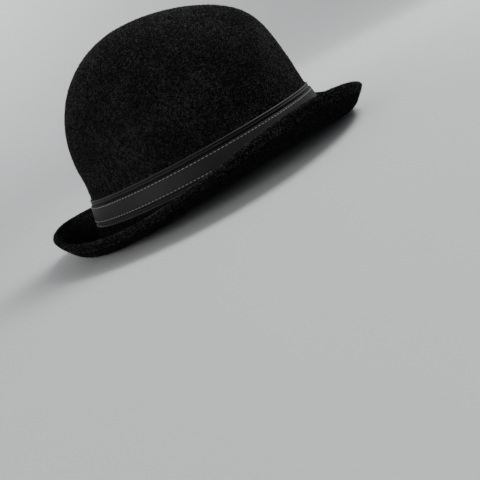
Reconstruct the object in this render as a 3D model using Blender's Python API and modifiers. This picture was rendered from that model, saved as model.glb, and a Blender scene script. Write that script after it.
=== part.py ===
"""Bowler hat: a one-piece blocked felt body with its band, side bow, sweatband and lining.

Frame: +X is the front of the hat, +Y the wearer's left, +Z up. The hat stands on the front and
rear dips of its brim, which touch the plane z = 0, and its outline is centred on the origin.
Every piece is laid out from the foot of the crown, where the band sits and the brim begins.
"""

import math

import bmesh
import bpy

MM = 0.001

# Where the centre of the crown's foot stands in the hat's frame, and how the hat tips back
FOOT_X = 0.84 * MM
FOOT_Z = 15.32 * MM
FOOT_TIP = math.radians(-0.5)

# Crown, measured on its outside, heights from the foot
CROWN_HALF_LENGTH = 95.4 * MM
CROWN_HALF_WIDTH = 79.2 * MM
CROWN_HEIGHT = 121.2 * MM
DOME_CENTRE_X = -12.5 * MM
TOP_ARC_RADIUS = 159.0 * MM
FRONT_LEAN = 0.16
CROWN_SHIFT = 1.2 * MM
FRONT_CORNER_SHARPNESS = 14.0
SIDE_ROUNDNESS = 0.96
FOOT_FLARE = 7.4 * MM
FLARE_POWER = 1.8
SIDE_FLARE_SHARE = 0.85

# Brim: an oval edge, curled up at the sides, with a dip in front and one behind.
# The four heights stand at the front, 60 degrees, 120 degrees and the rear.
BRIM_HALF_LENGTH = 133.0 * MM
BRIM_HALF_WIDTH = 125.6 * MM
BRIM_SQUARENESS = 2.1
BRIM_CENTRE_X = -0.7 * MM
BRIM_EDGE_HEIGHTS = (0.4 * MM, 19.8 * MM, 4.7 * MM, 14.4 * MM)
BRIM_DIP_HEIGHTS = (-18.9 * MM, -3.6 * MM, -9.8 * MM, -17.6 * MM)
BRIM_TWIST = 3.0 * MM
BRIM_FIRST_REACH = 0.21
BRIM_SECOND_REACH = 0.82
END_REACH_LOSS = 0.08

FELT_THICKNESS = 3.0 * MM
EDGE_ROUNDING = 1.1 * MM
GAP = 0.3 * MM

# Band round the foot of the crown, heights from the foot
RIBBON_LOW = 0.6 * MM
RIBBON_HIGH = 20.6 * MM
RIBBON_THICKNESS = 0.7 * MM
OVERLAY_LOW = 4.1 * MM
OVERLAY_HIGH = 16.3 * MM
OVERLAY_THICKNESS = 0.8 * MM
TOPSTITCH_HEIGHTS = {"lower": 5.2 * MM, "upper": 15.2 * MM}
TOPSTITCH_RADIUS = 0.3 * MM

# Bow on the wearer's left
BOW_ANGLE = math.radians(90)
LOOP_LENGTH = 34.0 * MM
LOOP_DEPTH = 2.8 * MM
LOOP_OVERLAP = 3.0 * MM
LOOP_THICKNESS = 0.6 * MM
LOOP_PINCH = 0.84
KNOT_HALF_WIDTH = 6.5 * MM
KNOT_THICKNESS = 0.9 * MM

# Inside the crown, set in from the felt's outer face
REED_TAPE_LOW = 0.9 * MM
REED_TAPE_HIGH = 10.0 * MM
REED_TAPE_THICKNESS = 0.4 * MM
REED_RADIUS = 0.9 * MM
REED_DROP = 1.0 * MM
SWEATBAND_LOW = 1.2 * MM
SWEATBAND_HIGH = 37.0 * MM
SWEATBAND_THICKNESS = 1.0 * MM
SEAM_THREAD_HEIGHT = 3.6 * MM
SEAM_THREAD_RADIUS = 0.25 * MM
LINING_THICKNESS = 0.4 * MM
LINING_SET_IN = FELT_THICKNESS + 0.5 * MM
LINING_LOW = 11.0 * MM
PIPING_RADIUS = 1.0 * MM
LABEL_ANGLE = math.radians(222)
LABEL_HALF_WIDTH = 14.0 * MM
LABEL_LOW = 12.0 * MM
LABEL_HIGH = 31.0 * MM
LABEL_THICKNESS = 0.3 * MM
REAR_BOW_HALF_WIDTH = 13.0 * MM
REAR_BOW_THICKNESS = 0.8 * MM
REAR_BOW_HEIGHT = 9.0 * MM

ROUND_SEGMENTS = 48
DOME_ROWS = 9
WALL_ROWS = 4
BRIM_ROWS = 8
LINING_TIP_ROWS = 3

WALL_TOP = CROWN_HEIGHT - (CROWN_HALF_LENGTH + DOME_CENTRE_X)
FOOT_HALF_LENGTH = CROWN_HALF_LENGTH + FOOT_FLARE
FOOT_HALF_WIDTH = CROWN_HALF_WIDTH + SIDE_FLARE_SHARE * FOOT_FLARE

# Rows that every layer of the crown shares, so that the layers stay parallel
DOME_RISES = [math.pi / 2 * (1 - (step + 1) / DOME_ROWS) for step in range(DOME_ROWS)]
WALL_LEVELS = [WALL_TOP * (1 - (step + 1) / WALL_ROWS) for step in range(WALL_ROWS)]

PALETTE = {
    "felt": ((0.012, 0.012, 0.013), 0.95),
    "ribbon": ((0.020, 0.019, 0.023), 0.60),
    "overlay": ((0.028, 0.028, 0.029), 0.50),
    "topstitch": ((0.110, 0.110, 0.112), 0.70),
    "leather": ((0.030, 0.024, 0.020), 0.55),
    "tape": ((0.018, 0.018, 0.019), 0.80),
    "reed": ((0.300, 0.290, 0.260), 0.50),
    "satin": ((0.025, 0.025, 0.028), 0.35),
    "label": ((0.700, 0.690, 0.660), 0.60),
}


# ---------------------------------------------------------------- the hat's surfaces

def round_the_hat(heights, theta):
    """Smooth height round the hat that passes its four values at 0, 60, 120 and 180 degrees."""
    front, quarter, rear_quarter, rear = heights
    mean = (front + 2 * quarter + 2 * rear_quarter + rear) / 6
    pitch = (front + quarter - rear_quarter - rear) / 3
    dip = (front - quarter - rear_quarter + rear) / 3
    swing = (front - 2 * quarter + 2 * rear_quarter - rear) / 6
    return (mean + pitch * math.cos(theta) + dip * math.cos(2 * theta)
            + swing * math.cos(3 * theta))


def edge_height(theta):
    """Height of the brim's edge, with the slight twist of the left side."""
    twist = BRIM_TWIST * math.sin(2 * theta) if math.sin(theta) > 0 else 0.0
    return round_the_hat(BRIM_EDGE_HEIGHTS, theta) - twist


def front_reach(rise, outset):
    """Distance from the dome's centre to the front profile, at an angle above the horizon."""
    wall = CROWN_HALF_LENGTH + outset - DOME_CENTRE_X
    arc = TOP_ARC_RADIUS + outset
    drop = (CROWN_HEIGHT + outset - arc) - WALL_TOP

    def reach(angle):
        to_wall = wall / (math.cos(angle) + FRONT_LEAN * math.sin(angle))
        along = drop * math.sin(angle)
        to_arc = along + math.sqrt(along * along - drop * drop + arc * arc)
        power = FRONT_CORNER_SHARPNESS
        return (to_wall ** -power + to_arc ** -power) ** (-1 / power)

    return reach(rise) * (1 + (wall / reach(0) - 1) * math.cos(rise))


def dome_point(theta, rise, outset=0.0):
    """Point of the crown's dome: rise runs from 0 at the top of the wall to 90 degrees at the apex."""
    rear_radius = CROWN_HALF_LENGTH + outset + DOME_CENTRE_X
    rear_x = DOME_CENTRE_X - rear_radius * math.cos(rise)
    rear_z = WALL_TOP + rear_radius * math.sin(rise)
    reach = front_reach(rise, outset)
    front_x = DOME_CENTRE_X + reach * math.cos(rise)
    front_z = WALL_TOP + reach * math.sin(rise)
    half_width = (CROWN_HALF_WIDTH + outset) * max(math.cos(rise), 0.0) ** SIDE_ROUNDNESS
    middle_z = (front_z + rear_z) / 2
    x = (front_x + rear_x) / 2 + (front_x - rear_x) / 2 * math.cos(theta)
    x += CROWN_SHIFT * math.cos(rise) ** 2
    z = (middle_z + (front_z - rear_z) / 2 * math.cos(theta)
         + (rear_z - middle_z) * math.sin(theta) ** 2)
    return (x, half_width * math.sin(theta), z)


def wall_point(theta, height, outset=0.0):
    """Point of the crown's wall, from the foot at 0 up to WALL_TOP."""
    low = 1 - height / WALL_TOP
    lean_share = FRONT_LEAN * WALL_TOP / FOOT_FLARE * max(math.cos(theta), 0.0) ** 2
    curved = max(low, 0.0) ** FLARE_POWER
    flare = FOOT_FLARE * (curved + lean_share * (low - curved))
    x = (CROWN_HALF_LENGTH + flare + outset) * math.cos(theta) + CROWN_SHIFT * (1 - low)
    y = (CROWN_HALF_WIDTH + SIDE_FLARE_SHARE * flare + outset) * math.sin(theta)
    return (x, y, height)


def brim_point(theta, share):
    """Point of the brim's upper face: share runs from 0 at the foot to 1 at the edge."""
    cosine = math.cos(theta)
    sine = math.sin(theta)
    stretch = (abs(cosine) ** BRIM_SQUARENESS + abs(sine) ** BRIM_SQUARENESS) ** (-1 / BRIM_SQUARENESS)
    edge = (BRIM_CENTRE_X + BRIM_HALF_LENGTH * cosine * stretch, BRIM_HALF_WIDTH * sine * stretch)
    near = 3 * (1 - share) ** 2 * share
    far = 3 * (1 - share) * share ** 2
    end = share ** 3
    second_reach = BRIM_SECOND_REACH - END_REACH_LOSS * cosine ** 6
    out = near * BRIM_FIRST_REACH + far * second_reach + end
    x = FOOT_HALF_LENGTH * cosine * (1 - out) + edge[0] * out
    y = FOOT_HALF_WIDTH * sine * (1 - out) + edge[1] * out
    z = (near + far) * round_the_hat(BRIM_DIP_HEIGHTS, theta) + end * edge_height(theta)
    return (x, y, z)


def wall_levels(high, low):
    """Row heights for a layer that covers the wall between two heights."""
    return [high] + [level for level in WALL_LEVELS if low < level < high] + [low]


def round_angles():
    return [2 * math.pi * step / ROUND_SEGMENTS for step in range(ROUND_SEGMENTS)]


def ring(point, level, outset=None):
    """One closed row of points round the hat."""
    if outset is None:
        return [point(theta, level) for theta in round_angles()]
    return [point(theta, level, outset) for theta in round_angles()]


# ---------------------------------------------------------------- building blocks

def clear_scene():
    for thing in list(bpy.data.objects):
        bpy.data.objects.remove(thing, do_unlink=True)


def new_collection(name):
    collection = bpy.data.collections.new(name)
    bpy.context.scene.collection.children.link(collection)
    return collection


def new_material(name, slot):
    colour, roughness = PALETTE[slot]
    material = bpy.data.materials.new(name)
    material.use_nodes = True
    shader = material.node_tree.nodes["Principled BSDF"]
    shader.inputs["Base Color"].default_value = (*colour, 1.0)
    shader.inputs["Roughness"].default_value = roughness
    shader.inputs["Metallic"].default_value = 0.0
    return material


class Bench:
    """Keeps the collection and the empty at the crown's foot that every piece hangs on."""

    def __init__(self, collection, foot):
        self.collection = collection
        self.foot = foot

    def place(self, name, data, slot):
        piece = bpy.data.objects.new(name, data)
        data.materials.append(new_material(name, slot))
        self.collection.objects.link(piece)
        piece.parent = self.foot
        return piece

    def surface(self, name, rows, slot, apex=None, closed=True):
        """Loft an open surface through rows listed from the top down."""
        mesh = bmesh.new()
        grid = [[mesh.verts.new(point) for point in row] for row in rows]
        columns = len(rows[0])
        spans = columns if closed else columns - 1
        for upper, lower in zip(grid, grid[1:]):
            for column in range(spans):
                following = (column + 1) % columns
                mesh.faces.new((upper[column], lower[column], lower[following], upper[following]))
        if apex is not None:
            peak = mesh.verts.new(apex)
            for column in range(spans):
                mesh.faces.new((peak, grid[0][column], grid[0][(column + 1) % columns]))
        data = bpy.data.meshes.new(name)
        mesh.to_mesh(data)
        mesh.free()
        data.shade_smooth()
        data.set_sharp_from_angle(angle=math.radians(50))
        return self.place(name, data, slot)

    def wire(self, name, points, radius, slot):
        """A thin closed round cord through the points."""
        curve = bpy.data.curves.new(name, "CURVE")
        curve.dimensions = "3D"
        curve.twist_mode = "Z_UP"
        curve.bevel_depth = radius
        curve.bevel_resolution = 0
        spline = curve.splines.new("POLY")
        spline.points.add(len(points) - 1)
        for target, point in zip(spline.points, points):
            target.co = (*point, 1.0)
        spline.use_cyclic_u = True
        return self.place(name, curve, slot)


def thicken(piece, thickness, outward):
    shell = piece.modifiers.new("thickness", "SOLIDIFY")
    shell.thickness = thickness
    shell.offset = 1.0 if outward else -1.0
    shell.use_even_offset = True
    shell.use_quality_normals = True
    return shell


# ---------------------------------------------------------------- the pieces

def make_felt_body(bench, cutters):
    """Crown and brim, blocked from one felt hood, with a rounded raw edge and no binding."""
    rows = [ring(dome_point, rise) for rise in DOME_RISES]
    rows += [ring(wall_point, level) for level in WALL_LEVELS]
    rows += [ring(brim_point, (step + 1) / BRIM_ROWS) for step in range(BRIM_ROWS)]
    apex = dome_point(0.0, math.pi / 2)
    felt = bench.surface("felt_body", rows, "felt", apex)
    thicken(felt, FELT_THICKNESS, outward=False)
    rounding = felt.modifiers.new("raw edge", "BEVEL")
    rounding.width = EDGE_ROUNDING
    rounding.segments = 2
    rounding.limit_method = "ANGLE"
    rounding.angle_limit = math.radians(72)

    bpy.ops.mesh.primitive_cube_add(size=1.0, location=(0.0, 0.0, -10 * MM))
    table = bpy.context.object
    table.name = "resting_plane_cutter"
    table.dimensions = (400 * MM, 400 * MM, 20 * MM)
    bpy.ops.object.transform_apply(location=False, rotation=False, scale=True)
    table.hide_render = True
    table.display_type = "WIRE"
    for collection in list(table.users_collection):
        collection.objects.unlink(table)
    cutters.objects.link(table)
    flat = felt.modifiers.new("standing flats", "BOOLEAN")
    flat.operation = "DIFFERENCE"
    flat.solver = "EXACT"
    flat.object = table


def make_band(bench):
    """Ribbon round the foot of the crown, and the narrower strip sewn along its middle."""
    rows = [ring(wall_point, z, GAP) for z in (RIBBON_HIGH, RIBBON_LOW)]
    ribbon = bench.surface("hatband_ribbon", rows, "ribbon")
    thicken(ribbon, RIBBON_THICKNESS, outward=True)

    base = GAP + RIBBON_THICKNESS + GAP
    rows = [ring(wall_point, z, base) for z in (OVERLAY_HIGH, OVERLAY_LOW)]
    overlay = bench.surface("hatband_overlay", rows, "overlay")
    thicken(overlay, OVERLAY_THICKNESS, outward=True)

    outset = base + OVERLAY_THICKNESS + GAP + 1.1 * TOPSTITCH_RADIUS
    for row_name, height in TOPSTITCH_HEIGHTS.items():
        path = ring(wall_point, height, outset)
        bench.wire(f"overlay_stitches_{row_name}", path, TOPSTITCH_RADIUS, "topstitch")
    return outset + TOPSTITCH_RADIUS


def loop_outline(length, depth):
    """Flat oval of a folded ribbon: (distance along the band, distance out) pairs."""
    radius = depth / 2
    outline = []
    for step in range(5):
        turn = math.pi / 2 - math.pi * step / 4
        outline.append((length - radius + radius * math.cos(turn), radius + radius * math.sin(turn)))
    for share in (0.75, 0.5, 0.25):
        outline.append((radius + (length - depth) * share, 0.0))
    for step in range(5):
        turn = -math.pi / 2 - math.pi * step / 4
        outline.append((radius + radius * math.cos(turn), radius + radius * math.sin(turn)))
    for share in (0.25, 0.5, 0.75):
        outline.append((radius + (length - depth) * share, depth))
    return outline


def make_side_bow(bench, outset):
    """Two folded ribbon loops and the knot strip that hides the band's join."""
    radius = CROWN_HALF_LENGTH ** 2 / CROWN_HALF_WIDTH
    middle = (RIBBON_LOW + RIBBON_HIGH) / 2
    half_height = (RIBBON_HIGH - RIBBON_LOW) / 2
    inner = outset + GAP
    for side, name in ((-1, "bow_front_loop"), (1, "bow_rear_loop")):
        outline = loop_outline(LOOP_LENGTH, LOOP_DEPTH)
        if side < 0:
            outline.reverse()
        rows = []
        for height_share in (1, 0, -1):
            row = []
            for along, out in outline:
                theta = BOW_ANGLE + side * (along + GAP) / radius
                spread = LOOP_PINCH + (1 - LOOP_PINCH) * min(1.0, along / (12 * MM))
                height = middle + height_share * half_height * spread
                row.append(wall_point(theta, height, inner + out))
            rows.append(row)
        loop = bench.surface(name, rows, "ribbon")
        thicken(loop, LOOP_THICKNESS, outward=False)

    rows = []
    for height_share in (1, 0.5, 0, -0.5, -1):
        height = middle + height_share * half_height
        swell = 0.6 * MM * (1 - height_share ** 2)
        row = []
        for across in (-1, -0.5, 0, 0.5, 1):
            theta = BOW_ANGLE + across * KNOT_HALF_WIDTH / radius
            fold = 0.5 * MM * (1 - across * across)
            row.append(wall_point(theta, height, inner + LOOP_DEPTH + GAP + swell + fold))
        rows.append(row)
    knot = bench.surface("bow_knot", rows, "ribbon", closed=False)
    thicken(knot, KNOT_THICKNESS, outward=True)


def make_sweatband(bench):
    """Leather ring that touches the head, with its reed, tape, thread, label and small rear bow."""
    tape_out = -(FELT_THICKNESS + 2 * GAP)
    rows = [ring(wall_point, z, tape_out) for z in (REED_TAPE_HIGH, REED_TAPE_LOW)]
    tape = bench.surface("reed_tape", rows, "tape")
    thicken(tape, REED_TAPE_THICKNESS, outward=False)

    reed_path = ring(wall_point, 0.0, -(FELT_THICKNESS + 3 * GAP + REED_RADIUS))
    reed_path = [(x, y, z - REED_DROP) for x, y, z in reed_path]
    bench.wire("sweatband_reed", reed_path, REED_RADIUS, "reed")

    leather_out = -(LINING_SET_IN + LINING_THICKNESS + 1.5 * GAP)
    rows = [ring(wall_point, z, leather_out) for z in wall_levels(SWEATBAND_HIGH, SWEATBAND_LOW)]
    leather = bench.surface("sweatband", rows, "leather")
    thicken(leather, SWEATBAND_THICKNESS, outward=False)

    inner_face = leather_out - SWEATBAND_THICKNESS
    thread = ring(wall_point, SEAM_THREAD_HEIGHT, inner_face - 1.2 * GAP - SEAM_THREAD_RADIUS)
    bench.wire("sweatband_seam_thread", thread, SEAM_THREAD_RADIUS, "topstitch")

    label_rows = []
    for height in (LABEL_HIGH, (LABEL_HIGH + LABEL_LOW) / 2, LABEL_LOW):
        row = []
        for across in (-1, -0.5, 0, 0.5, 1):
            theta = LABEL_ANGLE + across * LABEL_HALF_WIDTH / CROWN_HALF_WIDTH
            row.append(wall_point(theta, height, inner_face - 2 * GAP))
        label_rows.append(row)
    label = bench.surface("size_label", label_rows, "label", closed=False)
    thicken(label, LABEL_THICKNESS, outward=False)

    rear_radius = CROWN_HALF_WIDTH ** 2 / CROWN_HALF_LENGTH
    bow_rows = []
    for height_share in (1, 0, -1):
        row = []
        for step in range(-4, 5):
            across = step / 4
            half_height = (1.3 + 2.7 * abs(across)) * MM
            theta = math.pi + across * REAR_BOW_HALF_WIDTH / rear_radius
            height = REAR_BOW_HEIGHT + height_share * half_height
            row.append(wall_point(theta, height, inner_face - 2 * GAP))
        bow_rows.append(row)
    rear_bow = bench.surface("sweatband_rear_bow", bow_rows, "ribbon", closed=False)
    thicken(rear_bow, REAR_BOW_THICKNESS, outward=False)


def make_lining(bench):
    """Satin side strip and tip, with a round piping along the seam between them."""
    seam_rise = DOME_RISES[LINING_TIP_ROWS - 1]
    seam_gap = math.radians(0.3)
    rises = [seam_rise - seam_gap] + DOME_RISES[LINING_TIP_ROWS:]
    rows = [ring(dome_point, rise, -LINING_SET_IN) for rise in rises]
    rows += [ring(wall_point, z, -LINING_SET_IN) for z in wall_levels(WALL_TOP, LINING_LOW)[1:]]
    sides = bench.surface("lining_side", rows, "satin")
    thicken(sides, LINING_THICKNESS, outward=False)

    rises = DOME_RISES[:LINING_TIP_ROWS - 1] + [seam_rise + seam_gap]
    rows = [ring(dome_point, rise, -LINING_SET_IN) for rise in rises]
    apex = dome_point(0.0, math.pi / 2, -LINING_SET_IN)
    tip = bench.surface("lining_tip", rows, "satin", apex)
    thicken(tip, LINING_THICKNESS, outward=False)

    piping_in = LINING_SET_IN + LINING_THICKNESS + 2 * GAP + PIPING_RADIUS
    path = ring(dome_point, seam_rise, -piping_in)
    bench.wire("lining_piping", path, PIPING_RADIUS, "satin")


def main():
    clear_scene()
    parts = new_collection("Bowler hat")
    cutters = new_collection("Cutters")
    foot = bpy.data.objects.new("crown_foot", None)
    foot.location = (FOOT_X, 0.0, FOOT_Z)
    foot.rotation_euler = (0.0, FOOT_TIP, 0.0)
    parts.objects.link(foot)
    bench = Bench(parts, foot)
    make_felt_body(bench, cutters)
    band_outset = make_band(bench)
    make_side_bow(bench, band_outset)
    make_sweatband(bench)
    make_lining(bench)


main()
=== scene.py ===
"""Bowler hat: the finished look of every piece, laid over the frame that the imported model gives.

Frame: +X is the front of the hat, +Y the wearer's left, +Z up, in metres. Layers of the hat are
laid out from the centre of the crown's foot, where the band sits and the brim begins.
"""

import random
from math import atan2, copysign, cos, exp, pi, radians, sin, sqrt

import bmesh
import bpy
from bpy.props import FloatProperty, FloatVectorProperty, IntProperty, PointerProperty
from mathutils import Euler, Matrix, Vector, noise


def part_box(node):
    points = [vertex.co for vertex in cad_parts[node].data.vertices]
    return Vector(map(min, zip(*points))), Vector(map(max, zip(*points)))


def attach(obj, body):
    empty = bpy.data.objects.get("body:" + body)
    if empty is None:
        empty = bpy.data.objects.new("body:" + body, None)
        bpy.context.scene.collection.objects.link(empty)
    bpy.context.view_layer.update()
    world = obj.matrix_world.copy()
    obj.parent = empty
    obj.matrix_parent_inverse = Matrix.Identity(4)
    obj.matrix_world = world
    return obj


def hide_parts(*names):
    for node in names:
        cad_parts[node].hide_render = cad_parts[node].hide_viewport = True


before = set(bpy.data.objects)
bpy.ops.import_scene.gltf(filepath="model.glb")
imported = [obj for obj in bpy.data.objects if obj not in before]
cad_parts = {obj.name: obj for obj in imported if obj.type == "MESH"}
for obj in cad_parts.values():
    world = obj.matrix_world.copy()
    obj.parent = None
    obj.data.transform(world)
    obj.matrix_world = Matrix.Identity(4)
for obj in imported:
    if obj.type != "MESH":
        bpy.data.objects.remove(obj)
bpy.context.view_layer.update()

bl_info = {
    "name": "Bowler Hat",
    "version": (1, 0, 0),
    "blender": (4, 5, 0),
    "location": "View3D > Sidebar > Bowler Hat",
    "description": "Builds a felt bowler hat with its band, bow, sweatband and lining",
    "category": "Add Mesh",
}

MM = 0.001
TURN = 2 * pi

REED_BELOW_FOOT = 1.0 * MM
TIP_BACK = radians(-0.5)
STANCE = Matrix.Rotation(TIP_BACK, 3, "Y")
REED_LOW, REED_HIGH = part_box("sweatband_reed")
REED_MIDDLE = (REED_LOW + REED_HIGH) / 2
FOOT = Vector((REED_MIDDLE.x, 0.0, REED_MIDDLE.z + REED_BELOW_FOOT))


# ---- settings

def length(name, description, millimetres):
    return FloatProperty(name=name, description=description, default=millimetres * MM, min=0.0,
                         unit="LENGTH", subtype="DISTANCE", precision=4)


def angle(name, description, degrees):
    return FloatProperty(name=name, description=description, default=radians(degrees),
                         unit="ROTATION", subtype="ANGLE")


def colour(name, description, default):
    return FloatVectorProperty(name=name, description=description, default=default, size=3,
                               min=0.0, max=1.0, subtype="COLOR")


def share(name, description, default):
    return FloatProperty(name=name, description=description, default=default, min=0.0, max=1.0,
                         subtype="FACTOR")


def count(name, description, default):
    return IntProperty(name=name, description=description, default=default, min=1)


class HatFormSettings(bpy.types.PropertyGroup):
    crown_height: length("Crown height", "Top of the crown above its foot", 121.2)
    crown_half_length: length("Crown half length", "Middle of the crown to its front or rear wall",
                              95.4)
    crown_half_width: length("Crown half width", "Middle of the crown to its side wall", 79.2)
    dome_set_back: length("Dome set back", "How far the dome's centre lies behind the foot's",
                          12.5)
    top_arc: length("Top arc", "Radius of the crown's profile over the top", 159.0)
    front_lean: share("Front lean", "Slope of the front wall towards the rear", 0.16)
    foot_flare: length("Foot flare", "How far the wall spreads at its foot", 7.4)
    brim_half_length: length("Brim half length", "Middle of the brim to its front edge", 133.0)
    brim_half_width: length("Brim half width", "Middle of the brim to its side edge", 125.6)
    felt: length("Felt thickness", "Thickness of the blocked felt", 3.0)
    unevenness: length("Unevenness", "How far the hand of the felt wanders", 0.10)
    nap_depth: length("Nap depth", "How far the ground lies under the tips of the nap", 0.5)
    edge_swell: length("Edge swell", "Swelling of each face of the felt at the raw edge", 1.0)


class HatBandSettings(bpy.types.PropertyGroup):
    ribbon_low: length("Ribbon low edge", "Above the crown's foot", 0.6)
    ribbon_high: length("Ribbon high edge", "Above the crown's foot", 20.6)
    ribbon_out: length("Ribbon face", "How far the ribbon's face stands off the felt", 0.9)
    strip_low: length("Strip low edge", "Above the crown's foot", 4.1)
    strip_high: length("Strip high edge", "Above the crown's foot", 16.3)
    strip_out: length("Strip face", "How far the strip's face stands off the felt", 1.8)
    stitch_low: length("Lower stitch row", "Above the crown's foot", 5.2)
    stitch_high: length("Upper stitch row", "Above the crown's foot", 15.2)
    stitch_pitch: length("Stitch pitch", "Distance from one stitch to the next", 3.0)
    stitch_radius: length("Thread radius", "Half the thickness of the topstitching", 0.27)
    loop_length: length("Bow loop length", "From the knot's middle to the fold", 34.0)
    loop_depth: length("Bow loop depth", "How far a loop stands off the band", 3.0)
    knot_half_width: length("Knot half width", "Half the width of the bow's knot", 6.5)


class HatInsideSettings(bpy.types.PropertyGroup):
    sweatband_low: length("Sweatband low edge", "Above the crown's foot", 1.2)
    sweatband_high: length("Sweatband high edge", "Above the crown's foot", 37.0)
    leather: length("Leather thickness", "Thickness of the sweatband", 1.0)
    leather_inset: length("Sweatband inset", "Its back inside the felt's outer face", 4.2)
    lining_inset: length("Lining inset", "Its outer face inside the felt's outer face", 3.4)
    lining_low: length("Lining low edge", "Above the crown's foot", 11.0)
    seam_angle: angle("Tip seam angle", "Rise of the seam between side and tip", 60)
    pleats: count("Lining pleats", "Gathers round the lining's side", 64)


class HatFinishSettings(bpy.types.PropertyGroup):
    felt_dark: colour("Felt dark", "Depth of the nap", (0.0035, 0.0036, 0.0035))
    felt_light: colour("Felt light", "Ground between the fibres", (0.0230, 0.0233, 0.0228))
    # the raw edge's lighter ground and fibres are partly worn cut felt and partly a painted
    # highlight on the curled edge
    felt_edge: colour("Raw edge", "Ground on the raw edge of the brim", (0.0500, 0.0505, 0.0495))
    nap_tip: colour("Nap tip", "Lightest fibres of the nap", (0.0540, 0.0547, 0.0532))
    edge_tip: colour("Edge tip", "Lightest fibres of the raw edge", (0.0800, 0.0810, 0.0790))
    ribbon: colour("Ribbon", "Grosgrain of the band and bow", (0.0420, 0.0400, 0.0480))
    strip: colour("Strip", "Smooth strip on the band", (0.0225, 0.0225, 0.0230))
    thread: colour("Topstitching", "Thread on the strip", (0.3400, 0.3400, 0.3450))
    leather: colour("Sweatband", "Leather that touches the head", (0.0330, 0.0240, 0.0180))
    satin: colour("Lining", "Satin of the lining", (0.0200, 0.0200, 0.0230))
    tape: colour("Reed tape", "Cotton tape behind the leather", (0.0180, 0.0180, 0.0190))
    reed: colour("Reed", "Stiff ring in the sweatband's edge", (0.3000, 0.2900, 0.2600))
    label: colour("Label", "Blank size label", (0.6200, 0.6100, 0.5700))


class HatStageSettings(bpy.types.PropertyGroup):
    camera_offset: FloatVectorProperty(
        name="Camera offset", description="Camera's place from the crown's foot", size=3,
        default=(-27.95 * MM, -418.6 * MM, 53.95 * MM), unit="LENGTH", subtype="TRANSLATION")
    camera_heading: angle("Camera heading", "Turn of the view to the hat's front side", 2.76)
    camera_pitch: angle("Camera pitch", "Downward tilt of the view", 16.65)
    camera_roll: angle("Camera roll", "Turn of the camera about its own view", 28.86)
    lens: FloatProperty(name="Lens", description="Focal length for a 36 mm sensor", default=37.8,
                        min=1.0, unit="CAMERA")
    sweep_radius: length("Sweep radius", "Radius of the flat part of the studio sweep", 1200.0)
    sweep_rise: length("Sweep rise", "Radius of the sweep's curve up to its wall", 2200.0)


SETTINGS = {
    "hat_form": HatFormSettings,
    "hat_band": HatBandSettings,
    "hat_inside": HatInsideSettings,
    "hat_finish": HatFinishSettings,
    "hat_stage": HatStageSettings,
}


# ---- the hat's surfaces

FRONT_CORNER_SHARPNESS = 14.0
SIDE_ROUNDNESS = 0.96
CROWN_SHIFT = 1.2 * MM
FLARE_POWER = 1.8
SIDE_FLARE_SHARE = 0.85
BRIM_SQUARENESS = 2.1
BRIM_CENTRE_X = -0.7 * MM
BRIM_EDGE_HEIGHTS = (0.4 * MM, 19.8 * MM, 4.7 * MM, 14.4 * MM)
BRIM_DIP_HEIGHTS = (-18.9 * MM, -3.6 * MM, -9.8 * MM, -17.6 * MM)
BRIM_TWIST = 3.0 * MM
BRIM_FIRST_REACH = 0.21
BRIM_SECOND_REACH = 0.82
END_REACH_LOSS = 0.08
END_LOSS_POWER = 6
CREASE_SPREAD = 0.055
EDGE_STATION = 2.84
LAST_STATION = 2.975
OVAL_STEPS = 2880
TURN_STEP = 0.001
RISE_STEP = 0.1 * MM


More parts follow.
